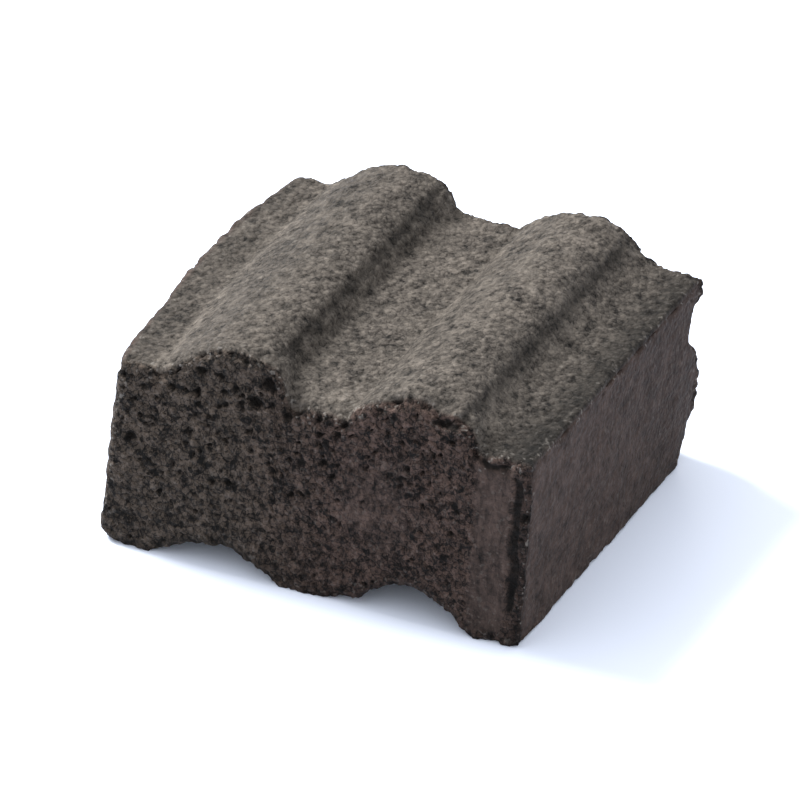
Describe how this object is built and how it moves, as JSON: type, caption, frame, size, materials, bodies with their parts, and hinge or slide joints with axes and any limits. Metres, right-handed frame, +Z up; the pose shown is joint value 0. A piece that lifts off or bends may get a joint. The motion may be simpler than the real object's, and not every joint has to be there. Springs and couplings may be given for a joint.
{
  "type": "corrugated charcoal briquette",
  "caption": "Pressed charcoal block with rounded ridges on top and matching air channels beneath, standing on its feet.",
  "frame": {"origin": "middle of the block's footprint, on the surface that its feet stand on", "axes": "+X across the ridges, from the left side to the right, +Y along the ridges, from the front end to the back, +Z up"},
  "size_m": [0.0612, 0.0574, 0.0315],
  "materials": {
    "charcoal": "matte"
  },
  "bodies": {
    "root": {"briquette": "charcoal"}
  },
  "joints": []
}
